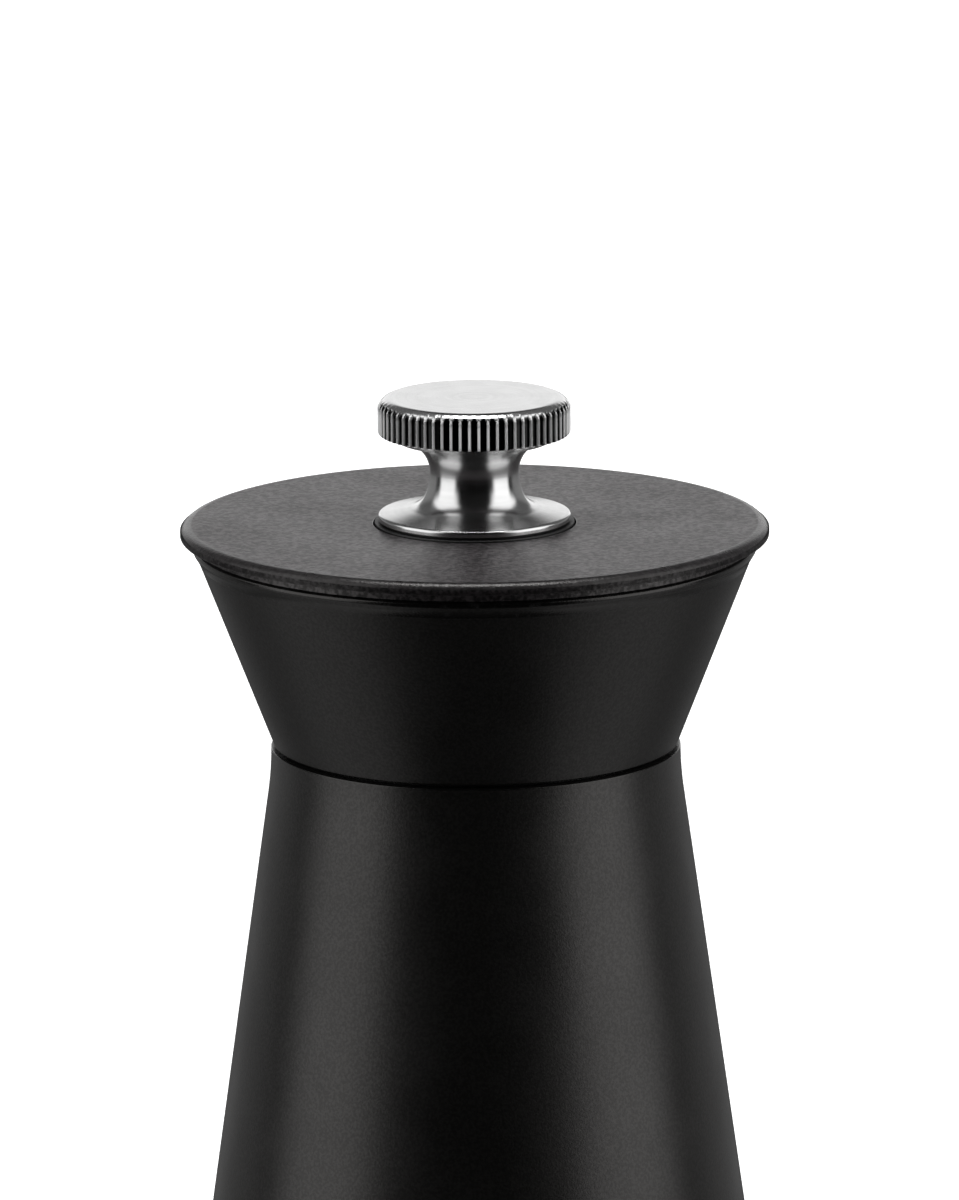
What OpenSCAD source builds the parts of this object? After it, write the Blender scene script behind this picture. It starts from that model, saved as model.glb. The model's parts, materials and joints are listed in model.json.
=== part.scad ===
// Head-turn pepper mill: a conical body, a flared head with a flat lid, and a knurled knob on top.
// Turning the head turns a square spindle and its grinding cone. Turning the knob draws the spindle
// up or lets it down, which sets how fine the pepper is ground. Unscrewed, the knob frees the head
// for filling. The origin is at the middle of the underside, and the mill stands along +Z.

/* [Body] */
// Height of the body's top edge above the table
body_h = 87; // [84:0.5:92]
// Outer radius of the body at its top edge
body_top_r = 22.4; // [22.2:0.1:23.4]
// Lean of the body's side, in degrees
body_lean = 8.03; // [7.7:0.01:9.5]
// Height of the soft curve between the top edge and the straight side
waist_h = 5.2; // [3:0.1:8]
// Wall thickness of the body shell
body_wall = 2.2; // [1.6:0.1:2.4]

/* [Head] */
// Height of the open seam between head and body
seam_gap = 0.4; // [0.35:0.05:0.6]
// Outer radius of the head's cone at its lower edge
head_low_r = 22.1; // [21.9:0.1:23]
// Outer radius of the head's cone at its upper edge
head_high_r = 30.75; // [30.4:0.05:31.2]
// Height of the head's cone
head_cone_h = 22.12; // [21.6:0.02:24]
// Flare of the lip at the cone's upper edge
lip_flare = 0.35; // [0:0.05:0.4]
// Wall thickness of the head's cone
head_wall = 1.9; // [1.5:0.1:2]
// Radius of the lid
lid_r = 32.12; // [31.6:0.02:34]
// Height of the lid's rim
lid_rim_h = 1.25; // [1.25:0.01:2.5]
// Rounding of the lid's top edge
lid_round = 1.15; // [0.6:0.05:1.15]
// Shadow gap between the cone's upper edge and the lid's rim
lid_gap = 1; // [0.4:0.05:1.4]

/* [Knob] */
// Radius over the knurl
knob_r = 10.47; // [10:0.01:11]
// Height of the knob's top face above the lid
knob_rise = 13.94; // [13.8:0.02:15]
// Height of the knurled disc, edges included
disc_h = 4.04; // [3.9:0.02:4.2]
// Rounding of the disc's top edge
disc_round = 1.35; // [0.8:0.05:1.5]
// Number of knurls
knurl_count = 64; // [40:2:72]
// Depth of the knurl
knurl_depth = 0.45; // [0.2:0.05:0.5]
// Radius of the knob's neck
neck_r = 4.87; // [4.6:0.01:5]
// Height of the neck's narrowest place above the lid
neck_rise = 5.68; // [5.6:0.02:5.8]
// Radius of the curve above the neck
upper_arc = 3.5; // [3.3:0.1:3.8]
// Radius of the curve below the neck
lower_arc = 6.2; // [6:0.1:6.4]
// Radius of the curve that runs out into the foot flange
foot_arc = 2.5; // [2.3:0.1:2.7]
// Radius of the knob's foot flange
flange_r = 10.52; // [10.2:0.02:10.8]
// Thickness of the foot flange at its edge
flange_edge = 0.69; // [0.5:0.01:0.7]

/* [Spindle] */
// Width across the flats of the square spindle
spindle_w = 5; // [4:0.1:5.2]
// Radius of the thread at the spindle's top end
thread_r = 2.45; // [1.9:0.05:2.45]
// Pitch of the thread
thread_pitch = 0.8; // [0.5:0.05:1]
// Radius of the journal at the spindle's lower end
journal_r = 2; // [1.6:0.1:2]

/* [Grinder] */
// Outer radius of the fixed grinding ring
ring_r = 14; // [13.6:0.1:14.2]
// Height of the grinding ring
ring_h = 14; // [13:0.5:15]
// Grinding gap, measured across the axis
grind_gap = 0.45; // [0.35:0.05:0.8]
// Number of fine teeth on the ring and on the cone
fine_teeth = 36; // [24:2:40]
// Number of coarse flutes on the cone
coarse_flutes = 8; // [5:1:9]

/* [Fits] */
// Radial clearance where one piece turns or slides in another
running_gap = 0.08; // [0.02:0.01:0.1]
// Clearance between fixed pieces that nest
nest_gap = 0.1; // [0.05:0.01:0.15]

/* [Hidden] */
$fn = 96;
e = 0.01;

// Colours
black_coat = [0.07, 0.07, 0.075];
lid_black = [0.16, 0.155, 0.16];
steel = [0.78, 0.78, 0.77];
dark_steel = [0.42, 0.42, 0.43];
nylon_black = [0.04, 0.04, 0.04];
plastic_grey = [0.30, 0.31, 0.32];
plastic_white = [0.86, 0.86, 0.84];
rubber_black = [0.05, 0.05, 0.05];
brass = [0.78, 0.62, 0.30];

// Levels, from the table up
foot_drop = 1.2;
foot_h = 2.4;
shell_lift = 0.6;
plate_top = 5.2;
bar_bottom = 5.6;
bar_top = 7.6;
bar_ring_bottom = 7;
grinder_z = 9;
cone_z = grinder_z + 0.5;
fine_top = cone_z + 3.5;
ring_top = grinder_z + ring_h;
cone_top = ring_top + 0.4;
seat_top = cone_top + 0.8;
housing_top = 31;
bridge_top = 33;
hopper_throat_z = 34.5;
hopper_wide_z = 45.8;
collar_z = 70;
neck_z = 76;
skirt_z = body_h - 9.6;
bead_top = skirt_z + 1.55;
glide_seat = body_h - 0.8;
core_z = body_h + seam_gap - 0.1;
cone_low_z = body_h + seam_gap;
shell_seat = cone_low_z + 1.2;
core_floor = cone_low_z + 2.9;
cone_high_z = cone_low_z + head_cone_h;
rim_z = cone_high_z + lid_gap;
lid_top = rim_z + lid_rim_h;
pocket_z = lid_top - 0.87;
lid_boss_z = lid_top - 3.5;
thrust_step_z = lid_top + 0.18;
flange_z = lid_top + 0.39;
knob_top = lid_top + knob_rise;
disc_z = knob_top - disc_h;

// Radii of the body
waist_r = body_top_r + waist_h * tan(body_lean / 2);
waist_curve = waist_h / sin(body_lean);
function body_r(z) = waist_r + (body_h - waist_h - z) * tan(body_lean);
function head_r(z) = head_low_r + (head_high_r - head_low_r) * (z - cone_low_z) / head_cone_h;
neck_bore = body_top_r - 2.1;
collar_r = neck_bore - nest_gap;
glide_bore = collar_r - 1.6;
glide_r = glide_bore - running_gap;
skirt_r = glide_r - 1;
skirt_bore = skirt_r - 1.5;
plate_r = body_r(plate_top) - body_wall - 0.18;

// Radii of the grinder
housing_r = 18.4;
outlet_r = 13.3;
throat_r = 12.6;
feed_r = 14.6;
fine_slope = 3 / 7;
cone_low_r = 12;
cone_fine_r = cone_low_r - fine_slope * (fine_top - cone_z);
cone_tip_r = 6.5;
square_corner = spindle_w / sqrt(2);
square_clear = square_corner + 0.3;

// Radii of the head
pocket_r = 11.05;
lid_boss_r = 13.2;
lid_post_r = 3;
hub_r = 8.2;

// Screw circles
base_screw_circle = 27.8;
grinder_screw_circle = 21.5;
bar_screw_circle = 16.1;
lid_screw_circle = 12.5;
plate_screw_circle = 6.4;

// Seats of the screw heads, and the drive plate's thickness
lid_screw_sink = 1.2;
base_screw_sink = 1.3;
grinder_screw_z = grinder_z - 6;
drive_plate_h = 1.5;

// Points along an arc about a centre
function arc(centre, radius, from, to, steps = 8) =
    [for (i = [0:steps]) let (a = from + (to - from) * i / steps) centre + radius * [cos(a), sin(a)]];

// Copies the children around the axis
module around(count, radius, start = 0) {
    for (i = [0:count - 1])
        rotate(start + i * 360 / count)
            translate([radius, 0, 0])
                children();
}

// Turns an outline of [radius, height] points about the axis
module turned(points) {
    rotate_extrude()
        polygon(points);
}

module tube(outer, inner, bottom, top) {
    turned([[inner, bottom], [outer, bottom], [outer, top], [inner, top]]);
}

// Pan-head screw with a six-sided socket, pointing up, with its head's underside at z = 0
module screw(head_radius, head_height, shank_radius, length) {
    difference() {
        union() {
            translate([0, 0, -head_height])
                cylinder(r1 = head_radius * 0.86, r2 = head_radius, h = head_height);
            translate([0, 0, -e])
                cylinder(r = shank_radius, h = length - shank_radius * 0.6);
            translate([0, 0, length - shank_radius * 0.6 - 2 * e])
                cylinder(r1 = shank_radius, r2 = shank_radius * 0.45, h = shank_radius * 0.6);
        }
        translate([0, 0, -head_height - e])
            cylinder(r = head_radius * 0.5, h = head_height * 0.7, $fn = 6);
    }
}

// Long V-shaped cutter that lies along a slanted line from one [radius, height] point to another
module groove(from, to, width, depth) {
    run = to - from;
    length = norm(run);
    overrun = 1;
    translate([from[0], 0, from[1]])
        rotate([0, atan2(run[0], run[1]), 0])
            translate([0, 0, -overrun])
                linear_extrude(length + 2 * overrun)
                    polygon([[-depth, 0], [depth, -width], [depth, width]]);
}

module square_bore(width, bottom, top) {
    translate([-width / 2, -width / 2, bottom])
        cube([width, width, top - bottom]);
}

// Knurled disc: a star-shaped prism inside a disc with rounded edges
module knurled_disc() {
    low_round = 0.5;
    step = 180 / knurl_count;
    star = [for (i = [0:2 * knurl_count - 1])
        (knob_r - (i % 2) * knurl_depth) * [cos(i * step), sin(i * step)]];
    intersection() {
        translate([0, 0, disc_z])
            linear_extrude(disc_h)
                polygon(star);
        turned(concat(
            [[0, disc_z]],
            arc([knob_r - low_round + e, disc_z + low_round], low_round, 285, 360, 2),
            arc([knob_r - disc_round + e, knob_top - disc_round], disc_round, 0, 85, 5),
            [[0, knob_top]]
        ));
    }
}

// Waisted stem between the foot flange and the disc: three arcs that run into each other. The
// change from the lower arc to the foot's arc is where both lean by the same angle.
module knob_stem() {
    arc_change = 24.2;
    flange_slope = 10.9;
    edge_break = 0.1;
    neck_z = lid_top + neck_rise;
    lower_centre = [neck_r + lower_arc, neck_z];
    upper_centre = [neck_r + upper_arc, neck_z];
    foot_centre = lower_centre - (lower_arc - foot_arc) * [cos(arc_change), sin(arc_change)];
    turned(concat(
        [[0, flange_z], [flange_r - edge_break, flange_z], [flange_r, flange_z + edge_break]],
        [[flange_r, flange_z + flange_edge - edge_break], [flange_r - edge_break, flange_z + flange_edge]],
        arc(foot_centre, foot_arc, 270 - flange_slope, 180 + arc_change, 8),
        arc(lower_centre, lower_arc, 180 + arc_change - 4, 180, 5),
        arc(upper_centre, upper_arc, 172, 90, 9),
        [[knob_r - 0.4, disc_z + e], [0, disc_z + e]]
    ));
}

module adjusting_knob() {
    bore_top = disc_z + 1.2;
    color(steel)
        difference() {
            union() {
                knurled_disc();
                knob_stem();
            }
            translate([0, 0, flange_z - 1])
                cylinder(r = thread_r + 0.1, h = bore_top - flange_z + 1);
        }
}

module thrust_ring() {
    bore = 5.6;
    outer = pocket_r - 0.15;
    shoulder = 10.1;
    color(nylon_black)
        turned([
            [bore, pocket_z], [outer, pocket_z], [outer, thrust_step_z - 0.1], [outer - 0.1, thrust_step_z],
            [shoulder, thrust_step_z], [shoulder, flange_z], [bore, flange_z]
        ]);
}

// Flat round lid with a rounded rim, a pocket for the thrust ring and posts for its screws
module head_lid() {
    seat_r = head_high_r - 0.4;
    rib_h = 2.4;
    rib_w = 1.5;
    rib_r = head_r(cone_high_z - rib_h) - head_wall - 0.25;
    post_bore = 1.25;
    post_bore_depth = 10;
    color(lid_black)
        difference() {
            union() {
                turned(concat(
                    [[square_clear, lid_boss_z], [lid_boss_r, lid_boss_z], [lid_boss_r, cone_high_z]],
                    [[rib_r - rib_w, cone_high_z], [rib_r - rib_w, cone_high_z - rib_h]],
                    [[rib_r, cone_high_z - rib_h], [rib_r, cone_high_z]],
                    [[seat_r, cone_high_z], [seat_r, rim_z], [lid_r - 0.08, rim_z], [lid_r, rim_z + 0.08]],
                    arc([lid_r - lid_round, lid_top - lid_round], lid_round, 0, 90, 8),
                    [[pocket_r + 0.1, lid_top], [pocket_r, lid_top - 0.1], [pocket_r, pocket_z]],
                    [[square_clear, pocket_z]]
                ));
                around(3, lid_screw_circle, 90)
                    translate([0, 0, core_floor])
                        cylinder(r = lid_post_r, h = cone_high_z - core_floor + e);
            }
            around(3, lid_screw_circle, 90)
                translate([0, 0, core_floor - 1])
                    cylinder(r = post_bore, h = post_bore_depth + 1);
        }
}

module lid_screws() {
    color(steel)
        around(3, lid_screw_circle, 90)
            translate([0, 0, core_z + lid_screw_sink])
                screw(head_radius = 2.3, head_height = 1.2, shank_radius = 1.2, length = 10);
}

// Flared cone of the head, open at both ends
module head_shell() {
    lip_bore = head_low_r - 0.8;
    lip_z = cone_high_z - 1.5;
    lip_r = head_high_r + lip_flare;
    color(black_coat)
        turned([
            [lip_bore, cone_low_z], [head_low_r - 0.1, cone_low_z], [head_low_r + 0.04, cone_low_z + 0.1],
            [head_r(lip_z), lip_z], [lip_r, cone_high_z - 0.15], [lip_r - 0.15, cone_high_z],
            [head_high_r - head_wall, cone_high_z], [head_r(shell_seat) - head_wall, shell_seat],
            [lip_bore, shell_seat]
        ]);
}

// Frame of the head: floor, hub, and the skirt that turns in the body's neck
module head_core() {
    lip_r = head_low_r - 0.9;
    floor_r = head_r(shell_seat) - head_wall - nest_gap;
    color(plastic_grey)
        difference() {
            turned([
                [square_clear, core_z], [skirt_bore, core_z], [skirt_bore, skirt_z],
                [skirt_r + 0.3, skirt_z], [skirt_r + 0.45, skirt_z + 0.5], [skirt_r + 0.45, bead_top],
                [skirt_r, bead_top], [skirt_r, core_z], [lip_r, core_z], [lip_r, shell_seat],
                [floor_r, shell_seat], [floor_r, core_floor], [hub_r + 1, core_floor],
                [hub_r, core_floor + 2], [hub_r, lid_boss_z], [square_clear, lid_boss_z]
            ]);
            around(3, lid_screw_circle, 90) {
                translate([0, 0, core_z - 1])
                    cylinder(r = 2.45, h = lid_screw_sink + 1);
                translate([0, 0, core_z])
                    cylinder(r = 1.35, h = 4);
            }
            around(2, plate_screw_circle)
                translate([0, 0, core_z - 1])
                    cylinder(r = 1.05, h = 8);
        }
}

// Steel plate whose square hole drives the spindle
module drive_plate() {
    color(steel)
        difference() {
            tube(9, 1, core_z - drive_plate_h, core_z);
            square_bore(spindle_w + 2 * running_gap, core_z - 3, core_z + 1);
            around(2, plate_screw_circle)
                translate([0, 0, core_z - 3])
                    cylinder(r = 1.1, h = 5);
        }
}

module drive_plate_screws() {
    color(steel)
        around(2, plate_screw_circle)
            translate([0, 0, core_z - drive_plate_h])
                screw(head_radius = 1.9, head_height = 1, shank_radius = 1, length = 7.5);
}

// Ring on which the head turns: a flange on the body's neck and a sleeve inside it
module glide_ring() {
    bore = skirt_r + running_gap;
    color(nylon_black)
        turned([
            [bore, bead_top + 0.05], [glide_r - 0.3, bead_top + 0.05], [glide_r, bead_top + 0.6],
            [glide_r, glide_seat], [neck_bore + 0.3, glide_seat], [neck_bore + 0.3, core_z], [bore, core_z]
        ]);
}

// Outer shell of the body with the bosses that take the base screws
module body_shell() {
    rim_bore = neck_bore + 0.5;
    boss_top = 16;
    color(black_coat)
        difference() {
            union() {
                turned(concat(
                    [[body_r(shell_lift) - body_wall, shell_lift], [body_r(shell_lift) - 0.5, shell_lift]],
                    [[body_r(shell_lift) - 0.1, shell_lift + 0.3]],
                    arc([body_top_r + waist_curve, body_h], waist_curve, 180 + body_lean, 180.4, 6),
                    [[body_top_r - 0.15, body_h], [rim_bore, body_h], [rim_bore, glide_seat - 0.1]],
                    [[neck_bore, glide_seat - 0.1], [neck_bore, collar_z]],
                    [[body_r(collar_z) - body_wall, collar_z]]
                ));
                around(3, base_screw_circle, 90)
                    boss_with_rib(boss_top);
            }
            around(3, base_screw_circle, 90)
                translate([0, 0, plate_top - 1])
                    cylinder(r = 1.3, h = boss_top - plate_top - 1);
        }
}

// Screw boss of the body shell, with a rib that reaches into the wall
module boss_with_rib(boss_top) {
    mid_wall = body_wall / 2;
    translate([0, 0, plate_top])
        cylinder(r = 3, h = boss_top - plate_top);
    intersection() {
        translate([0, -1.2, plate_top])
            cube([8, 2.4, boss_top - plate_top]);
        translate([-base_screw_circle, 0, 0])
            turned([
                [0, plate_top], [body_r(plate_top) - mid_wall, plate_top],
                [body_r(boss_top) - mid_wall, boss_top], [0, boss_top]
            ]);
    }
}

// Liner that holds the peppercorns and funnels them into the grinder
module hopper_liner() {
    wide_r = body_r(hopper_wide_z) - body_wall - 0.4;
    wall = 1.5;
    socket_r = housing_r + nest_gap;
    socket_z = 25;
    funnel_drop = 2.2;
    color(plastic_grey)
        turned([
            [socket_r, socket_z], [socket_r + wall, socket_z], [socket_r + wall, hopper_throat_z + 2.2],
            [wide_r, hopper_wide_z - funnel_drop], [wide_r, hopper_wide_z],
            [collar_r + 1.6, collar_z - 2], [collar_r + 1.6, collar_z], [collar_r, collar_z],
            [collar_r, glide_seat], [glide_bore, glide_seat], [glide_bore, neck_z],
            [collar_r - 0.1, collar_z - 1], [wide_r - wall, hopper_wide_z],
            [feed_r, hopper_throat_z], [feed_r, bridge_top], [socket_r, bridge_top]
        ]);
}

// Square bar with a threaded top end and a journal at its lower end
module spindle() {
    square_bottom = cone_z + 2.1;
    square_top = body_h + 17;
    thread_top = disc_z - 2.5;
    root = thread_r - 0.35;
    turns = floor((thread_top - square_top - 1.6) / thread_pitch);
    thread_z = thread_top - 0.6 - turns * thread_pitch;
    clip_z = cone_z + 0.9;
    ridges = [for (i = [0:turns - 1]) let (z = thread_z + i * thread_pitch)
        each [[root, z], [thread_r, z + thread_pitch * 0.4], [thread_r, z + thread_pitch * 0.6]]];
    color(steel) {
        translate([-spindle_w / 2, -spindle_w / 2, square_bottom])
            cube([spindle_w, spindle_w, square_top - square_bottom]);
        turned(concat(
            [[0, grinder_z - 4.4], [journal_r - 0.4, grinder_z - 4.4], [journal_r, grinder_z - 4]],
            [[journal_r, clip_z], [journal_r - 0.4, clip_z], [journal_r - 0.4, clip_z + 0.6]],
            [[journal_r, clip_z + 0.6], [journal_r, square_bottom + 1], [0, square_bottom + 1]]
        ));
        turned(concat(
            [[0, square_top - 1], [root, square_top - 1]],
            ridges,
            [[root, thread_top - 0.6], [root - 0.4, thread_top], [0, thread_top]]
        ));
    }
}

// Spring clip that holds the grinding cone on the spindle
module spindle_circlip() {
    clip_z = cone_z + 0.95;
    color(dark_steel)
        difference() {
            tube(3.3, journal_r - 0.35, clip_z, clip_z + 0.5);
            translate([0, -0.9, clip_z - 1])
                cube([5, 1.8, 3]);
        }
}

module cone_washer() {
    color(steel)
        tube(4.2, journal_r + 0.05, cone_z + 1.5, cone_z + 2);
}

// Turning half of the grinder, with coarse flutes above and fine teeth below
module grinding_cone() {
    fine_depth = 0.5;
    color(dark_steel)
        difference() {
            turned([
                [0, cone_z], [cone_low_r, cone_z], [cone_fine_r, fine_top],
                [cone_tip_r, cone_top - 1.4], [cone_tip_r - 0.5, cone_top], [0, cone_top]
            ]);
            square_bore(spindle_w + 0.06, cone_z - 1, cone_top + 1);
            translate([0, 0, cone_z - 1])
                cylinder(r = 4.5, h = 3);
            for (i = [0:fine_teeth - 1])
                rotate(i * 360 / fine_teeth)
                    groove([cone_low_r, cone_z], [cone_fine_r, fine_top], 0.8, fine_depth);
            for (i = [0:coarse_flutes - 1])
                rotate(i * 360 / coarse_flutes + 5)
                    groove([cone_fine_r + 0.3, fine_top + 1.6], [cone_tip_r, cone_top], 2.2, 1.1);
        }
}

// One ring of points of the spring's wire
function wire_ring(radius, wire_r, angle, z, sides) =
    [for (k = [0:sides - 1]) let (a = 360 * k / sides, r = radius + wire_r * cos(a))
        [r * cos(angle), r * sin(angle), z + wire_r * sin(a)]];

// Compression spring with one closed coil at each end
module spring() {
    wire_r = 0.45;
    radius = 5;
    turns = 4.5;
    closed_pitch = 2 * wire_r + 0.03;
    sides = 8;
    steps = 90;
    low = seat_top + wire_r + 0.03;
    high = housing_top - wire_r - 0.03;
    open_pitch = (high - low - 2 * closed_pitch) / (turns - 2);
    height = function (turn) low + closed_pitch * (min(turn, 1) + max(turn - turns + 1, 0))
        + open_pitch * min(max(turn - 1, 0), turns - 2);
    points = [for (i = [0:steps]) let (turn = turns * i / steps) each
        wire_ring(radius, wire_r, 360 * turn, height(turn), sides)];
    skin = [for (i = [0:steps - 1], k = [0:sides - 1])
        let (a = i * sides + k, b = i * sides + (k + 1) % sides) each
        [[a, b, b + sides], [a, b + sides, a + sides]]];
    first = [for (k = [sides - 1:-1:0]) k];
    last = [for (k = [0:sides - 1]) steps * sides + k];
    color(steel)
        polyhedron(points, concat([first, last], skin));
}

// Washer that carries the spring on top of the grinding cone
module spring_seat() {
    color(plastic_white)
        tube(6.2, square_clear, cone_top, seat_top);
}

// Bar across the grinder's mouth that guides the spindle and backs the spring
module spring_bridge() {
    arm_w = 5;
    hub_r = 6.3;
    color(steel)
        difference() {
            union() {
                tube(housing_r - nest_gap, feed_r, housing_top, bridge_top);
                translate([-arm_w / 2, -feed_r - 1, housing_top])
                    cube([arm_w, 2 * feed_r + 2, bridge_top - housing_top]);
                translate([0, 0, housing_top])
                    cylinder(r = hub_r, h = bridge_top - housing_top);
            }
            translate([0, 0, housing_top - 1])
                cylinder(r = square_clear, h = 4);
        }
}

// Fixed half of the grinder, with fine teeth at its lower end
module grinding_ring() {
    gap = grind_gap;
    low = cone_low_r + gap + fine_slope * (cone_z - grinder_z);
    fine = cone_fine_r + gap;
    color(dark_steel)
        difference() {
            turned([
                [low, grinder_z], [ring_r, grinder_z], [ring_r, ring_top],
                [throat_r - 0.2, ring_top], [fine, fine_top]
            ]);
            for (i = [0:fine_teeth - 1])
                rotate((i + 0.5) * 360 / fine_teeth)
                    mirror_groove([low, grinder_z], [fine + 0.12, fine_top + 2]);
        }
}

// Cutter for one tooth space on the inside of the grinding ring
module mirror_groove(from, to) {
    run = to - from;
    translate([from[0], 0, from[1]])
        rotate([0, atan2(run[0], run[1]), 0])
            translate([0, 0, -1])
                linear_extrude(norm(run) + 1)
                    polygon([[0.5, 0], [-0.4, -0.75], [-0.4, 0.75]]);
}

// Housing that holds the grinding ring and hangs on the base plate
module grinder_housing() {
    bore = ring_r + 0.05;
    flange_out = 23.9;
    flange_top = grinder_z + 2.5;
    boss_r = 2.3;
    boss_top = grinder_z + 6;
    color(plastic_grey)
        difference() {
            union() {
                turned([
                    [bore, grinder_z], [flange_out, grinder_z], [flange_out, flange_top],
                    [housing_r, flange_top], [housing_r, housing_top], [feed_r, housing_top], [throat_r, ring_top], [bore, ring_top]
                ]);
                around(3, grinder_screw_circle, 30)
                    translate([0, 0, grinder_z + 1])
                        cylinder(r = boss_r, h = boss_top - grinder_z - 1);
            }
            around(3, grinder_screw_circle, 30)
                translate([0, 0, grinder_z - 1])
                    cylinder(r = 1.15, h = 6);
            around(2, bar_screw_circle)
                translate([0, 0, grinder_z - 1])
                    cylinder(r = 0.85, h = 7);
            tube(ring_r - 2, 1, grinder_z - 5, grinder_z - 1);
        }
}

module grinder_screws() {
    color(steel)
        around(3, grinder_screw_circle, 30)
            translate([0, 0, grinder_screw_z])
                screw(head_radius = 1.9, head_height = 1.2, shank_radius = 1.1, length = 10.5);
}

// Ring with a cross bar that holds the grinding ring in and guides the spindle's journal
module bottom_bar() {
    ring_out = 18;
    arm_reach = outlet_r + 0.9;
    arm_w = 4;
    hub_r = 4.6;
    color(steel)
        difference() {
            union() {
                tube(ring_out, outlet_r, bar_ring_bottom, grinder_z);
                translate([-arm_reach, -arm_w / 2, bar_bottom])
                    cube([2 * arm_reach, arm_w, bar_top - bar_bottom]);
                translate([0, 0, bar_bottom])
                    cylinder(r = hub_r, h = bar_top - bar_bottom);
            }
            translate([0, 0, bar_bottom - 1])
                cylinder(r = journal_r + 1.25, h = 5);
            around(2, bar_screw_circle)
                translate([0, 0, bar_ring_bottom - 1])
                    cylinder(r = 0.9, h = 4);
        }
}

module bottom_bar_screws() {
    color(steel)
        around(2, bar_screw_circle)
            translate([0, 0, bar_ring_bottom])
                screw(head_radius = 1.55, head_height = 1, shank_radius = 0.8, length = 7.5);
}

module bottom_bush() {
    color(brass)
        tube(journal_r + 1.2, journal_r + 0.05, bar_bottom, bar_top + 0.4);
}

// Plate that closes the body's underside and carries the grinder
module base_plate() {
    collar_bore = 18.8;
    collar_r = 24.2;
    groove_out = 30.1;
    groove_in = 25.5;
    color(nylon_black)
        difference() {
            turned([
                [collar_bore, foot_drop], [groove_in, foot_drop], [groove_in, foot_h],
                [groove_out, foot_h], [groove_out, foot_drop], [plate_r, foot_drop],
                [plate_r, plate_top], [collar_r, plate_top], [collar_r, grinder_z], [collar_bore, grinder_z]
            ]);
            around(3, base_screw_circle, 90) {
                translate([0, 0, foot_h - 1])
                    cylinder(r = 2.5, h = base_screw_sink + 1);
                translate([0, 0, foot_h])
                    cylinder(r = 1.5, h = 4);
            }
            around(3, grinder_screw_circle, 30) {
                translate([0, 0, foot_drop - 1])
                    cylinder(r = 2.05, h = grinder_screw_z - foot_drop + 1);
                translate([0, 0, foot_drop])
                    cylinder(r = 1.25, h = 9);
            }
        }
}

module base_screws() {
    color(steel)
        around(3, base_screw_circle, 90)
            translate([0, 0, foot_h + base_screw_sink])
                screw(head_radius = 2.35, head_height = 1.25, shank_radius = 1.25, length = 9.5);
}

// Rubber ring the mill stands on
module foot_ring() {
    inner = 25.6;
    outer = 30;
    bevel = 0.3;
    color(rubber_black)
        turned([
            [inner + bevel, 0], [outer - bevel, 0], [outer, bevel], [outer, foot_h],
            [inner, foot_h], [inner, bevel]
        ]);
}

adjusting_knob();
thrust_ring();
head_lid();
lid_screws();
head_shell();
head_core();
drive_plate();
drive_plate_screws();
glide_ring();
body_shell();
hopper_liner();
spindle();
spindle_circlip();
cone_washer();
grinding_cone();
spring();
spring_seat();
spring_bridge();
grinding_ring();
grinder_housing();
grinder_screws();
bottom_bar();
bottom_bar_screws();
bottom_bush();
base_plate();
base_screws();
foot_ring();
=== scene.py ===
"""Looks of the pepper mill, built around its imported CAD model."""
import json
import math

import bmesh
import bpy
from mathutils import Matrix, Vector


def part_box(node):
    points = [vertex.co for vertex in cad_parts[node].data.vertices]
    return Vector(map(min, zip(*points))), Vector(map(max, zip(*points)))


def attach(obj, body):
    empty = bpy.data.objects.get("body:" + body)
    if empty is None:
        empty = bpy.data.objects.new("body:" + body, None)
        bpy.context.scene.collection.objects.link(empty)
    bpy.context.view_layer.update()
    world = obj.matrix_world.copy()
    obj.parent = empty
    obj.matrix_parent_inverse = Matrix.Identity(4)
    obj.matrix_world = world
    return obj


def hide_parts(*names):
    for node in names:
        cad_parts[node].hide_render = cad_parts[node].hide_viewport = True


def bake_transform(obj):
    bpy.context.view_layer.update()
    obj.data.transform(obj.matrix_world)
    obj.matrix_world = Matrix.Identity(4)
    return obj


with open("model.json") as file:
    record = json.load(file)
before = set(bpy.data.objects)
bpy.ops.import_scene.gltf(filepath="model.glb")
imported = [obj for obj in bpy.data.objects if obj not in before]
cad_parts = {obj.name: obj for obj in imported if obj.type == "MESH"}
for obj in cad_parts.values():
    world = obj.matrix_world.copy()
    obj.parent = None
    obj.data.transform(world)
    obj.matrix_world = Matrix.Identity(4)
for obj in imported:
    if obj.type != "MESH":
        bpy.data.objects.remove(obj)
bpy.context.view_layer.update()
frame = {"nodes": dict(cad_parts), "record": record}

MM = 0.001

# ---------------------------------------------------------------- meshes

# Columns of faces around the axis
AXIS_COLUMNS = 256
# Edges that turn by more than this many degrees are shaded sharp
SHARP_ANGLE = 32
# Flat strip beside each rounded edge: a share of the rounding, and its largest width
STRIP_SHARE = 0.6
STRIP_MAX = 0.15
# Gap between the turns that lie together at a spring's ends
COIL_GAP = 0.03


def round_corner(before, here, after, rounding, steps):
    """(radius, height, edge) points of one rounded corner: a flat strip, an arc, a flat strip."""
    towards, onwards = before - here, after - here
    back, on = towards.normalized(), onwards.normalized()
    half = back.angle(on) / 2
    reach = rounding / math.tan(half)
    centre = here + (back + on).normalized() * rounding / math.sin(half)
    start, end = here + back * reach - centre, here + on * reach - centre
    turn = start.angle_signed(end)
    strip = reach + min(STRIP_SHARE * rounding, STRIP_MAX)
    points = [(*(here + back * min(strip, 0.5 * towards.length)), 0.0)]
    for step in range(steps + 1):
        spoke = start.copy()
        spoke.rotate(Matrix.Rotation(-turn * step / steps, 2))
        points.append((*(centre + spoke), 1.0))
    points.append((*(here + on * min(strip, 0.5 * onwards.length)), 0.0))
    return points


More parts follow.
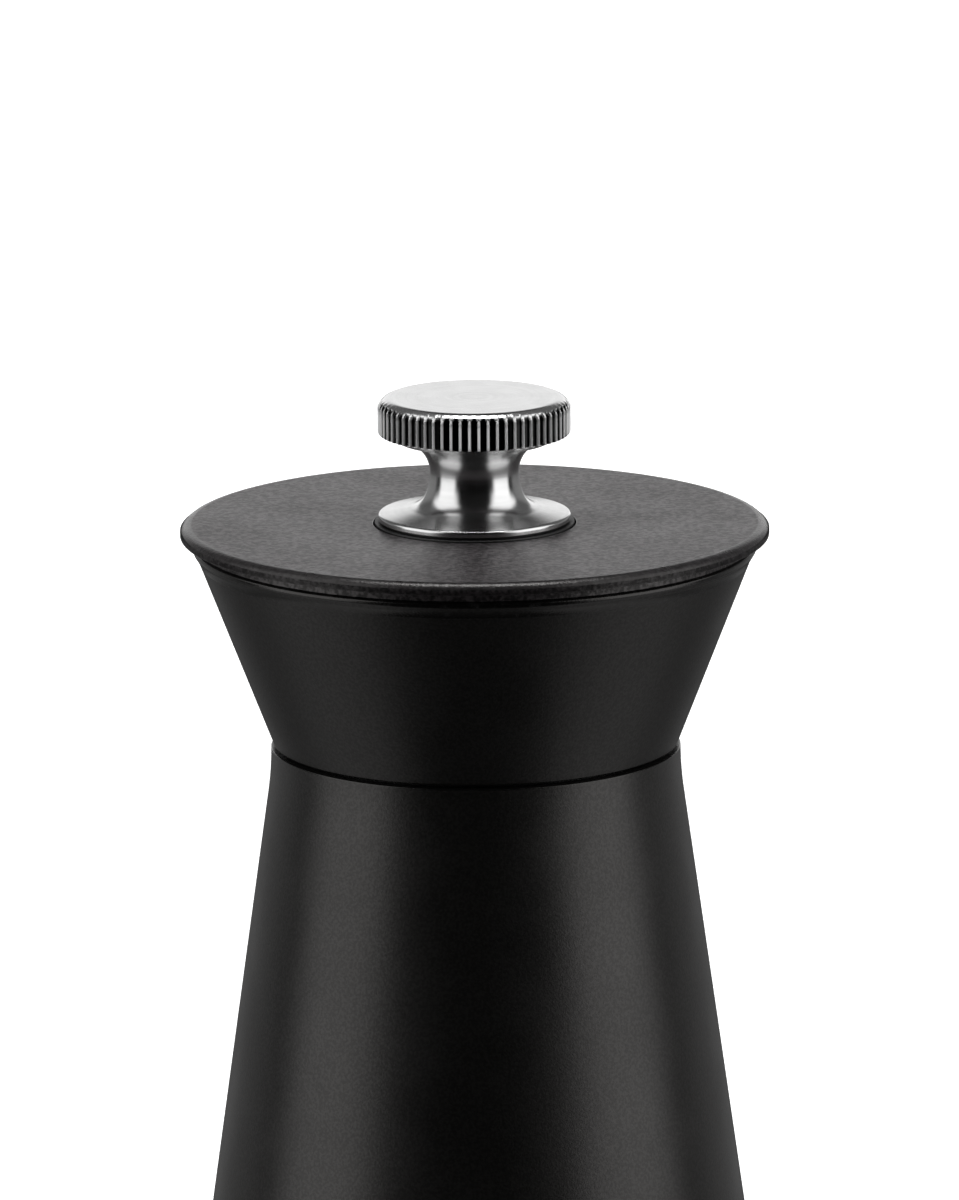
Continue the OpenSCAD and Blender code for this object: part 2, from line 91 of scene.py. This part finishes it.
def fillet(corners, closed, steps=6):
    """Outline through (radius, height, rounding) corners in millimetres, each rounded corner turned
    into an arc. Returns (radius, height, edge) points, where edge is 1 on the arcs."""
    outline = []
    count = len(corners)
    for i, (radius, height, rounding) in enumerate(corners):
        if rounding == 0 or (not closed and i in (0, count - 1)):
            outline.append((radius, height, 0.0))
            continue
        places = (corners[i - 1], corners[i], corners[(i + 1) % count])
        outline += round_corner(*(Vector(place[:2]) for place in places), rounding, steps)
    return outline


def arc(centre, radius, start, stop, steps):
    """(radius, height, 0) corners along an arc, with angles in degrees."""
    angles = [math.radians(start + (stop - start) * i / steps) for i in range(steps + 1)]
    return [(centre[0] + radius * math.cos(a), centre[1] + radius * math.sin(a), 0) for a in angles]


def to_piece(name, mesh):
    """Turns a finished bmesh into an object of the scene."""
    bmesh.ops.recalc_face_normals(mesh, faces=mesh.faces)
    data = bpy.data.meshes.new(name)
    mesh.to_mesh(data)
    mesh.free()
    data.set_sharp_from_angle(angle=math.radians(SHARP_ANGLE))
    piece = bpy.data.objects.new(name, data)
    bpy.context.scene.collection.objects.link(piece)
    return piece


def lathe(name, outline, closed, columns=AXIS_COLUMNS, shape=None):
    """A mesh turned about the axis. shape(radius, height, angle) returns the radius there, and the
    point's land and groove marks from 0 to 1."""
    mesh = bmesh.new()
    edge = mesh.verts.layers.float.new("edge")
    land = mesh.verts.layers.float.new("land")
    groove = mesh.verts.layers.float.new("groove")
    rows = []
    for radius, height, amount in outline:
        row = []
        on_axis = radius < 1e-6
        for k in range(1 if on_axis else columns):
            angle = 2 * math.pi * k / columns
            r, on_land, in_groove = shape(radius, height, angle) if shape else (radius, 0, 0)
            vert = mesh.verts.new((r * MM * math.cos(angle), r * MM * math.sin(angle), height * MM))
            vert[edge] = amount
            vert[land] = on_land
            vert[groove] = in_groove
            row.append(vert)
        rows.append(row)
    pairs = list(zip(rows, rows[1:])) + ([(rows[-1], rows[0])] if closed else [])
    for low, high in pairs:
        for k in range(columns):
            quad = [low[k % len(low)], low[(k + 1) % len(low)]]
            quad += [high[(k + 1) % len(high)], high[k % len(high)]]
            mesh.faces.new(dict.fromkeys(quad)).smooth = True
    return to_piece(name, mesh)


def coil(name, radius, wire, turns, low, high):
    """A compression spring between two heights, with one closed turn at each end. radius is the
    coil's, to the middle of the wire, and wire is the wire's own radius."""
    sides, steps_per_turn = 16, 64
    closed_pitch = 2 * wire + COIL_GAP
    first, last = low + wire, high - wire
    open_pitch = (last - first - 2 * closed_pitch) / (turns - 2)
    mesh = bmesh.new()
    rows = []
    for step in range(int(turns * steps_per_turn) + 1):
        turn = step / steps_per_turn
        height = first + closed_pitch * (min(turn, 1) + max(turn - turns + 1, 0))
        height += open_pitch * min(max(turn - 1, 0), turns - 2)
        angle = 2 * math.pi * turn
        row = []
        for k in range(sides):
            side = 2 * math.pi * k / sides
            r = radius + wire * math.cos(side)
            point = (r * math.cos(angle), r * math.sin(angle), height + wire * math.sin(side))
            row.append(mesh.verts.new(Vector(point) * MM))
        rows.append(row)
    for before, after in zip(rows, rows[1:]):
        for k in range(sides):
            on = (k + 1) % sides
            mesh.faces.new((before[k], before[on], after[on], after[k])).smooth = True
    mesh.faces.new(rows[0])
    mesh.faces.new(reversed(rows[-1]))
    return to_piece(name, mesh)


def place(piece, material, body, slot, *nodes):
    """Finishes a piece: its material, the body it rides on and the nodes it stands for. The slot
    argument is not used.
    """
    piece.data.materials.append(material)
    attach(piece, body)
    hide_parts(*nodes)


# ---------------------------------------------------------------- materials


class Tree:
    """Shorthand for building a node tree."""

    def __init__(self, tree):
        self.tree = tree

    def node(self, kind, **settings):
        made = self.tree.nodes.new(kind)
        for key, value in settings.items():
            setattr(made, key, value)
        return made

    def feed(self, socket, value):
        """Links an output to a socket, or sets the socket to a number or colour."""
        if isinstance(value, bpy.types.NodeSocket):
            self.tree.links.new(value, socket)
        else:
            socket.default_value = value

    def math(self, operation, *values):
        made = self.node("ShaderNodeMath", operation=operation)
        for socket, value in zip(made.inputs, values):
            self.feed(socket, value)
        return made.outputs[0]

    def ramp(self, value, low, high, out_low=0.0, out_high=1.0):
        """value from low..high, clamped and eased, to out_low..out_high."""
        made = self.node("ShaderNodeMapRange", interpolation_type="SMOOTHSTEP")
        for socket, number in zip(made.inputs, (value, low, high, out_low, out_high)):
            self.feed(socket, number)
        return made.outputs[0]


class Finish(Tree):
    """A procedural material around one Principled shader."""

    def __init__(self, name, roughness, metallic=0.0, **constants):
        self.material = bpy.data.materials.new(name)
        self.material.use_nodes = True
        super().__init__(self.material.node_tree)
        self.shader = self.tree.nodes["Principled BSDF"]
        self.shader.inputs["Metallic"].default_value = metallic
        self.shader.inputs["Roughness"].default_value = roughness
        for socket, value in constants.items():
            self.shader.inputs[socket.replace("_", " ")].default_value = value
        self.place = self.node("ShaderNodeTexCoord").outputs["Object"]

    def noise(self, size, detail=2.0, where=None):
        """Noise from 0 to 1 whose blobs are about size millimetres."""
        made = self.node("ShaderNodeTexNoise")
        made.inputs["Scale"].default_value = 1 / (size * MM)
        made.inputs["Detail"].default_value = detail
        self.feed(made.inputs["Vector"], where or self.place)
        return made.outputs["Fac"]

    def rings(self):
        """Coordinates (radius, height, 0), so that noise on them runs around the axis."""
        split = self.node("ShaderNodeSeparateXYZ")
        self.feed(split.inputs[0], self.place)
        x, y, z = split.outputs
        squares = self.math("ADD", self.math("MULTIPLY", x, x), self.math("MULTIPLY", y, y))
        made = self.node("ShaderNodeCombineXYZ")
        self.feed(made.inputs[0], self.math("SQRT", squares))
        self.feed(made.inputs[1], z)
        return made.outputs[0]

    def mark(self, name):
        """A mesh attribute, 0 where the mesh has none."""
        return self.node("ShaderNodeAttribute", attribute_name=name).outputs["Fac"]

    def mix(self, factor, first, second):
        """Mixes two colours. The node's colour sockets are inputs 6 and 7 and output 2."""
        made = self.node("ShaderNodeMix", data_type="RGBA")
        for number, value in ((0, factor), (6, first), (7, second)):
            self.feed(made.inputs[number], value)
        return made.outputs[2]

    def colour(self, value):
        self.feed(self.shader.inputs["Base Color"], value)

    def rough(self, value):
        self.feed(self.shader.inputs["Roughness"], value)

    def bump(self, height, depth):
        """Raises the surface by height, from 0 to 1, times depth in millimetres."""
        made = self.node("ShaderNodeBump")
        made.inputs["Strength"].default_value = 1.0
        made.inputs["Distance"].default_value = depth * MM
        self.feed(made.inputs["Height"], height)
        self.feed(self.shader.inputs["Normal"], made.outputs[0])


def grey(value, red=1.0, blue=1.0):
    return (value * red, value, value * blue, 1.0)


def coated(name, dark, light, grain, depth, rough, worn_and_highlight, polish, sparkle):
    """Powder-coated metal: a fine grain with bright and dull specks, faint cloudiness, and edges
    that are rubbed smoother. Rounded edges are also lighter in patches: partly worn coat, partly a
    painted highlight line along the rims."""
    finish = Finish(name, rough[0], Specular_Tint=(1.0, 0.97, 0.95, 1.0))
    edge = finish.mark("edge")
    fine = finish.noise(grain, 3.0)
    specks = finish.ramp(finish.noise(grain * 1.6, 3.0), 0.34, 0.68)
    speck = finish.math("MULTIPLY", specks, finish.ramp(edge, 0, 1, 1, 0.25))
    cloud = finish.noise(9.0, 3.0)
    # Rounded edges turn lighter in patches: partly worn coat, partly a painted highlight line along
    # the rims
    edge_wear_and_highlight = finish.math("MULTIPLY", edge, finish.ramp(finish.noise(0.8, 4.0), 0.5, 0.75))
    base = finish.mix(speck, dark, light)
    finish.colour(finish.mix(edge_wear_and_highlight, base, worn_and_highlight))
    roughness = finish.ramp(cloud, 0.3, 0.7, rough[0], rough[1])
    finish.rough(finish.math("SUBTRACT", roughness, finish.math("MULTIPLY", edge, polish)))
    gloss = finish.ramp(speck, 0, 1, 0.5 - sparkle, 0.5 + sparkle)
    finish.feed(finish.shader.inputs["Specular IOR Level"], gloss)
    finish.bump(fine, depth)
    return finish.material


def turned_steel(name, colour, rough, lines, smear):
    """Turned metal: hair lines around the axis, and highlights smeared across them except on flat
    tops. A knurl's lands carry a painted highlight, near-white and barely metallic, and its grooves
    carry a painted shade, near-black."""
    finish = Finish(name, rough[0], metallic=1.0, Anisotropic_Rotation=0.25)
    tangent = finish.node("ShaderNodeTangent", direction_type="RADIAL", axis="Z")
    finish.feed(finish.shader.inputs["Tangent"], tangent.outputs[0])
    facing = finish.node("ShaderNodeSeparateXYZ")
    finish.feed(facing.inputs[0], finish.node("ShaderNodeTexCoord").outputs["Normal"])
    across = finish.ramp(facing.outputs[2], 0.6, 0.95, smear, 0.0)
    finish.feed(finish.shader.inputs["Anisotropic"], across)
    rings = finish.rings()
    hair = finish.noise(0.035, 2.0, rings)
    band = finish.noise(0.4, 3.0, rings)
    cloud = finish.noise(2.5, 3.0)
    tone = finish.ramp(band, 0.3, 0.7)
    land = finish.ramp(finish.mark("land"), 0.3, 0.8)
    groove = finish.ramp(finish.mark("groove"), 0.2, 0.7)
    metal = finish.mix(tone, grey(colour * 0.94), grey(colour))
    # Painted highlight: the knurl's lands turn near-white and barely metallic, so they read bright
    # from every side. Painted shade: its grooves turn near-black
    metal = finish.mix(land, metal, grey(0.95))
    finish.colour(finish.mix(groove, metal, grey(0.018)))
    finish.feed(finish.shader.inputs["Metallic"], finish.ramp(land, 0, 1, 1.0, 0.1))
    satin = finish.ramp(cloud, 0.3, 0.7, rough[0], rough[1])
    finish.rough(finish.math("ADD", satin, finish.math("MULTIPLY", land, 0.12)))
    finish.bump(hair, lines)
    return finish.material


def moulded(name, dark, light, rough, grain, depth, **constants):
    """Moulded plastic or rubber: faint flow marks, a fine grain and duller scuffs."""
    finish = Finish(name, rough[0], **constants)
    flow = finish.noise(6.0, 3.0)
    fine = finish.noise(grain, 2.0)
    scuff = finish.ramp(finish.noise(1.2, 5.0), 0.55, 0.8)
    finish.colour(finish.mix(finish.ramp(flow, 0.3, 0.7), dark, light))
    roughness = finish.ramp(flow, 0.3, 0.7, rough[0], rough[1])
    finish.rough(finish.math("ADD", roughness, finish.math("MULTIPLY", scuff, 0.08)))
    finish.bump(fine, depth)
    return finish.material


def plain_steel(name, colour, rough, red=1.0, blue=1.0, grain=0.12, depth=0.0015):
    """Machined or pressed metal: a fine grain, light smears and small stains."""
    finish = Finish(name, rough[0], metallic=1.0)
    stain = finish.ramp(finish.noise(1.6, 4.0), 0.5, 0.8)
    finish.colour(finish.mix(stain, grey(colour, red, blue), grey(colour * 0.72, red, blue)))
    finish.rough(finish.ramp(finish.noise(0.9, 4.0), 0.3, 0.7, rough[0], rough[1]))
    finish.bump(finish.noise(grain, 2.0), depth)
    return finish.material


MATERIALS = {
    "black_coat": coated(
        "black_coat",
        dark=grey(0.0030, 1.04, 0.95),
        light=grey(0.0062, 1.04, 0.95),
        grain=0.2,
        depth=0.016,
        rough=(0.32, 0.37),
        worn_and_highlight=grey(0.016),
        polish=0.15,
        sparkle=0.05,
    ),
    "lid_black": coated(
        "lid_black",
        dark=grey(0.010, 1.12, 1.04),
        light=grey(0.050, 1.12, 1.06),
        grain=0.34,
        depth=0.04,
        rough=(0.38, 0.42),
        worn_and_highlight=grey(0.03),
        polish=0.12,
        sparkle=0.17,
    ),
    "knob_steel": turned_steel("knob_steel", 0.66, rough=(0.18, 0.22), lines=0.0008, smear=0.88),
    "nylon_black": moulded("nylon_black", grey(0.006), grey(0.010), (0.42, 0.5), 0.2, depth=0.006),
    "plastic_grey": moulded("plastic_grey", grey(0.055), grey(0.07), (0.42, 0.5), 0.25, depth=0.008),
    "acetal_white": moulded(
        "acetal_white",
        grey(0.62, 1.0, 0.95),
        grey(0.70, 1.0, 0.96),
        (0.35, 0.42),
        0.3,
        depth=0.004,
        Subsurface_Weight=0.1,
        Subsurface_Scale=0.001,
    ),
    "bright_steel": plain_steel("bright_steel", 0.60, (0.2, 0.3)),
    "grinder_steel": plain_steel("grinder_steel", 0.30, (0.32, 0.42), red=1.0, blue=0.98),
    "bush_brass": plain_steel("bush_brass", 0.56, (0.22, 0.32), red=1.42, blue=0.45),
    "foot_rubber": moulded("foot_rubber", grey(0.012), grey(0.02), (0.7, 0.8), 0.3, depth=0.02),
}

slot_of = {part["node"]: part["material_slot"] for part in frame["record"]["subparts"]}
for node, piece in frame["nodes"].items():
    for material_slot in piece.material_slots:
        material_slot.material = MATERIALS[slot_of[node]]

# ---------------------------------------------------------------- pieces
# Outlines are (radius, height, rounding) corners in millimetres. Levels come from the CAD boxes.


def low(node):
    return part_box(node)[0].z / MM


def high(node):
    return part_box(node)[1].z / MM


def outer(node):
    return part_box(node)[1].x / MM


# Body: a straight cone with a soft curve up to its top edge
BODY_TOP_R = 22.4
BODY_WALL = 2.2
BODY_LEAN = 8.03
WAIST_HEIGHT = 5.2
NECK_WALL = 2.1
# Step in the top edge, in which the glide ring lies
STEP_WIDTH, STEP_DEPTH = 0.5, 0.9
# Height at which the neck's bore ends
COLLAR_HEIGHT = 70
# Keeps the rounded foot inside the CAD model's box
FOOT_INSET = 0.03
body_low, body_high = low("body_shell"), high("body_shell")
lean = math.radians(BODY_LEAN)
waist_curve = WAIST_HEIGHT / math.sin(lean)
waist_r = BODY_TOP_R + WAIST_HEIGHT * math.tan(lean / 2)
neck_bore = BODY_TOP_R - NECK_WALL


def body_r(height):
    return waist_r + (body_high - WAIST_HEIGHT - height) * math.tan(lean)


# The curve stops a degree short of the top edge, whose corner comes next
waist = arc((BODY_TOP_R + waist_curve, body_high), waist_curve, 180 + BODY_LEAN, 181, 14)
body_outline = fillet(
    [
        (body_r(body_low) - BODY_WALL, body_low, 0.2),
        (body_r(body_low) - FOOT_INSET, body_low, 0.5),
        *waist,
        (BODY_TOP_R, body_high, 0.08),
        (neck_bore + STEP_WIDTH, body_high, 0.15),
        (neck_bore + STEP_WIDTH, body_high - STEP_DEPTH, 0),
        (neck_bore, body_high - STEP_DEPTH, 0),
        (neck_bore, COLLAR_HEIGHT, 0),
        (body_r(COLLAR_HEIGHT) - BODY_WALL, COLLAR_HEIGHT, 0),
    ],
    closed=True,
)
body = lathe("body_shell_coated", body_outline, closed=True)
place(body, MATERIALS["black_coat"], "body", "black_coat", "body_shell")

# Head: a flared cone under a lid
HEAD_LOW_R, HEAD_HIGH_R = 22.1, 30.75
HEAD_WALL = 1.9
LIP_HEIGHT, LIP_FLARE = 1.5, 0.35
# Thinner foot of the cone, which laps over the frame
LAP_WALL, LAP_HEIGHT = 0.8, 1.2
head_low, head_high = low("head_shell"), high("head_shell")
head_lean = (HEAD_HIGH_R - HEAD_LOW_R) / (head_high - head_low)
head_outline = fillet(
    [
        (HEAD_LOW_R - LAP_WALL, head_low, 0.1),
        (HEAD_LOW_R, head_low, 0.16),
        (HEAD_HIGH_R - LIP_HEIGHT * head_lean, head_high - LIP_HEIGHT, 4),
        (HEAD_HIGH_R + LIP_FLARE, head_high, 0.45),
        (HEAD_HIGH_R - HEAD_WALL, head_high, 0),
        (HEAD_LOW_R + LAP_HEIGHT * head_lean - HEAD_WALL, head_low + LAP_HEIGHT, 0),
        (HEAD_LOW_R - LAP_WALL, head_low + LAP_HEIGHT, 0),
    ],
    closed=True,
)
head = lathe("head_shell_coated", head_outline, closed=True)
place(head, MATERIALS["black_coat"], "head", "black_coat", "head_shell")

# Lid: a flat disc whose rim stands clear of the cone, on a seat set in a little from its edge
LID_R = 32.12
RIM_HEIGHT, RIM_ROUND = 1.25, 1.15
SEAT_INSET = 0.4
# Rib that centres the lid in the cone, boss around the hub, and pocket for the thrust ring
RIB_IN_R, RIB_OUT_R, RIB_DEPTH = 27.7, 29.2, 2.4
BOSS_R, BOSS_DEPTH = 13.2, 3.5
HUB_BORE = 4
POCKET_R = 11.05
lid_top = high("head_lid")
rim_low = lid_top - RIM_HEIGHT
seat_r = HEAD_HIGH_R - SEAT_INSET
pocket_low = low("thrust_ring")
lid_outline = fillet(
    [
        (HUB_BORE, lid_top - BOSS_DEPTH, 0),
        (BOSS_R, lid_top - BOSS_DEPTH, 0),
        (BOSS_R, head_high, 0),
        (RIB_IN_R, head_high, 0),
        (RIB_IN_R, head_high - RIB_DEPTH, 0.2),
        (RIB_OUT_R, head_high - RIB_DEPTH, 0.2),
        (RIB_OUT_R, head_high, 0),
        (seat_r, head_high, 0),
        (seat_r, rim_low, 0),
        (LID_R, rim_low, 0.07),
        (LID_R, lid_top, RIM_ROUND),
        (POCKET_R, lid_top, 0.1),
        (POCKET_R, pocket_low, 0),
        (HUB_BORE, pocket_low, 0),
    ],
    closed=True,
    steps=8,
)
lid = lathe("head_lid_grained", lid_outline, closed=True)
place(lid, MATERIALS["lid_black"], "head", "lid_black", "head_lid")

# Thrust ring: it lies in the pocket, and its shoulder carries the knob's flange
THRUST_R, THRUST_BORE = 10.9, 5.6
SHOULDER_R, SHOULDER_RISE = 10.1, 0.18
thrust_top = high("thrust_ring")
shoulder_low = lid_top + SHOULDER_RISE
thrust_outline = fillet(
    [
        (THRUST_BORE, pocket_low, 0.1),
        (THRUST_R, pocket_low, 0),
        (THRUST_R, shoulder_low, 0.12),
        (SHOULDER_R, shoulder_low, 0),
        (SHOULDER_R, thrust_top, 0),
        (THRUST_BORE, thrust_top, 0),
    ],
    closed=True,
)
thrust = lathe("thrust_ring_moulded", thrust_outline, closed=True)
place(thrust, MATERIALS["nylon_black"], "head", "nylon_black", "thrust_ring")

# Knob: a knurled disc on a waisted stem with a foot flange
KNURLS = 64
KNURL_DEPTH = 0.45
# Half the width of a ridge, as a share of the knurl's pitch
RIDGE_REACH = 0.25
COLUMNS_PER_KNURL = 12
DISC_HEIGHT = 4.04
# The disc's underside rises outwards and is flat for this width at its edge
UNDERSIDE_EDGE = 0.6
KNOB_BORE = 2.55
# Height of the bore's end above the disc's underside, and of two rows on the disc's side
BORE_RISE = 1.2
SIDE_ROWS = (1.2, 2.2)
FLANGE_R, FLANGE_EDGE = 10.52, 0.69
knob_low, knob_top = low("adjusting_knob"), high("adjusting_knob")
knob_r = outer("adjusting_knob")
disc_low = knob_top - DISC_HEIGHT


def knurled(radius, height, angle):
    """Cuts the grooves of the knurl: rounded ridges with flat valleys between them. The marks fade
    out where the disc's edges are rounded off."""
    below_disc = height < disc_low - 0.05
    if below_disc:
        return radius, 0, 0
    phase = abs((angle * KNURLS / (2 * math.pi)) % 1 - 0.5)
    valley = min((phase / RIDGE_REACH) ** 2, 1)
    cut = max((radius - knob_r) / KNURL_DEPTH + 1, 0)
    return min(radius, knob_r - KNURL_DEPTH * valley), cut * (1 - valley), cut * valley


# The stem is three arcs: one above the neck, and two below it that run out into the flange
NECK_R, NECK_RISE = 4.87, 5.68
UPPER_ARC, LOWER_ARC, FOOT_ARC = 3.5, 6.2, 2.5
# Angle at which the lower arc hands over to the foot's, and the slope of the flange's top
ARC_CHANGE = 24.2
FLANGE_SLOPE = 10.9
# The lower arc leaves out its two ends, which the arcs beside it already have
LOWER_START, LOWER_STOP = 180 + ARC_CHANGE - 2, 181
neck_height = lid_top + NECK_RISE
change = math.radians(ARC_CHANGE)
lower_centre = (NECK_R + LOWER_ARC, neck_height)
foot_centre = (
    lower_centre[0] - (LOWER_ARC - FOOT_ARC) * math.cos(change),
    neck_height - (LOWER_ARC - FOOT_ARC) * math.sin(change),
)
upper_centre = (NECK_R + UPPER_ARC, neck_height)
knob_outline = fillet(
    [
        (0, disc_low + BORE_RISE, 0),
        (KNOB_BORE, disc_low + BORE_RISE, 0),
        (KNOB_BORE, knob_low, 0),
        (FLANGE_R, knob_low, 0.1),
        (FLANGE_R, knob_low + FLANGE_EDGE, 0.36),
        *arc(foot_centre, FOOT_ARC, 270 - FLANGE_SLOPE, 180 + ARC_CHANGE, 12),
        *arc(lower_centre, LOWER_ARC, LOWER_START, LOWER_STOP, 8),
        *arc(upper_centre, UPPER_ARC, 180, 90, 18),
        (knob_r - UNDERSIDE_EDGE, disc_low, 0.15),
        (knob_r, disc_low, 0.4),
        *[(knob_r, disc_low + rise, 0) for rise in SIDE_ROWS],
        (knob_r, knob_top, 1.35),
        (4, knob_top, 0),
        (0, knob_top, 0),
    ],
    closed=False,
)
knob_columns = KNURLS * COLUMNS_PER_KNURL
knob = lathe("adjusting_knob_turned", knob_outline, closed=False, columns=knob_columns, shape=knurled)
place(knob, MATERIALS["knob_steel"], "knob", "knob_steel", "adjusting_knob")

# Spring: in the mill it shortens between its seat on the grinding cone and the bridge fixed in the
# body; here it is one fixed coil
COIL_R, WIRE_R, COIL_TURNS = 5, 0.45, 4.5
spring_low, spring_high = low("spring"), high("spring")
spring = coil("spring_coiled", COIL_R, WIRE_R, COIL_TURNS, spring_low, spring_high)
spring.data.materials.append(MATERIALS["bright_steel"])
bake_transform(spring)
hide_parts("spring")

# ---------------------------------------------------------------- floor, light and camera

FLOOR_SIZE = 6.0
reach = FLOOR_SIZE / 2
floor_corners = [(-reach, -reach, 0), (reach, -reach, 0), (reach, reach, 0), (-reach, reach, 0)]
floor_mesh = bpy.data.meshes.new("floor")
floor_mesh.from_pydata(floor_corners, [], [(0, 1, 2, 3)])
floor = bpy.data.objects.new("floor", floor_mesh)
bpy.context.scene.collection.objects.link(floor)
floor.visible_glossy = False
floor.visible_diffuse = False
floor.visible_shadow = False
paper = Finish("floor_paper", 0.9, Emission_Strength=0.55)
paper.shader.inputs["Emission Color"].default_value = grey(1.0)
paper.colour(grey(0.9))
# Seen from below, the floor is clear, so that the underside can be looked at
sheet = paper.node("ShaderNodeMixShader")
paper.feed(sheet.inputs[0], paper.node("ShaderNodeNewGeometry").outputs["Backfacing"])
paper.feed(sheet.inputs[1], paper.shader.outputs[0])
paper.feed(sheet.inputs[2], paper.node("ShaderNodeBsdfTransparent").outputs[0])
paper.feed(paper.tree.nodes["Material Output"].inputs["Surface"], sheet.outputs[0])
floor_mesh.materials.append(paper.material)

world = bpy.data.worlds.new("studio")
bpy.context.scene.world = world
world.use_nodes = True
sky = Tree(world.node_tree)
split = sky.node("ShaderNodeSeparateXYZ")
sky.feed(split.inputs[0], sky.node("ShaderNodeTexCoord").outputs["Generated"])
east, north, up = split.outputs
# Angle from the front, 0 to 180 degrees on either side, and height above the horizon
around = sky.math("ARCTAN2", sky.math("ABSOLUTE", east), sky.math("MULTIPLY", north, -1.0))
around = sky.math("MULTIPLY", around, math.degrees(1))
height = sky.math("MULTIPLY", sky.math("ARCSINE", up), math.degrees(1))
behind = sky.ramp(north, -0.06, 0.0)
brighter_right = sky.ramp(east, -0.2, 0.2, 0.96, 1.04)


def glow(strength, soft, sides=None, heights=None, factor=None):
    """A light box between two angles from the front and two heights, with edges soft degrees wide
    on either side of them."""
    value = strength
    for angle, limits in ((around, sides), (height, heights)):
        if limits:
            value = sky.math("MULTIPLY", value, sky.ramp(angle, limits[0] - soft, limits[0] + soft))
            value = sky.math("MULTIPLY", value, sky.ramp(angle, limits[1] + soft, limits[1] - soft))
    return sky.math("MULTIPLY", value, factor) if factor else value


lights = [
    # At both sides: level with the mill for the body, higher for the knob, lower for the head's cone
    glow(1.52, 6, (50, 95), (-22, 15), brighter_right),
    glow(1.45, 8, (44, 112), (14, 57), brighter_right),
    glow(0.44, 10, (54, 112), (-72, -22)),
    # Dim light from the back quarters, for the outlines
    glow(0.12, 8, (112, 168), (-72, 62)),
    glow(0.15, 8, (112, 168), (-20, 15)),
    # Straight behind and low: the lid and the knob's flat top mirror it
    glow(1.1, 4, (160, 200), (-2, 22)),
    # Overhead, on the far side: the bright lines along the front edges
    glow(10.0, 5, None, (71, 100), behind),
    # Faint fill from the front and from below
    glow(0.01, 8, (-10, 44), (14, 60)),
    glow(0.06, 20, None, (-100, -60)),
]
total = lights[0]
for light in lights[1:]:
    total = sky.math("ADD", total, light)
background = world.node_tree.nodes["Background"]
background.inputs["Color"].default_value = grey(1.0)
sky.feed(background.inputs["Strength"], total)
# The camera sees plain white instead of the light boxes
seen = sky.node("ShaderNodeBackground")
seen.inputs["Color"].default_value = grey(1.0)
choose = sky.node("ShaderNodeMixShader")
sky.feed(choose.inputs[0], sky.node("ShaderNodeLightPath").outputs["Is Camera Ray"])
sky.feed(choose.inputs[1], background.outputs[0])
sky.feed(choose.inputs[2], seen.outputs[0])
sky.feed(world.node_tree.nodes["World Output"].inputs[0], choose.outputs[0])

# Camera: its place and aim in metres, and its roll in degrees
CAMERA_PLACE = (0, -1.4311, 0.4164)
CAMERA_AIM = (0.00048, 0, 0.10306)
CAMERA_ROLL = -0.327
camera = bpy.data.objects.new("camera", bpy.data.cameras.new("camera"))
bpy.context.scene.collection.objects.link(camera)
bpy.context.scene.camera = camera
camera.data.lens = 402.69
camera.data.sensor_width = 36
camera.data.clip_start = 0.1
camera.data.clip_end = 20
camera.location = CAMERA_PLACE
level = (Vector(CAMERA_AIM) - camera.location).to_track_quat("-Z", "Y").to_matrix()
roll = Matrix.Rotation(math.radians(CAMERA_ROLL), 3, "Z")
camera.rotation_euler = (level @ roll).to_euler()

bpy.context.scene.view_settings.view_transform = "Standard"
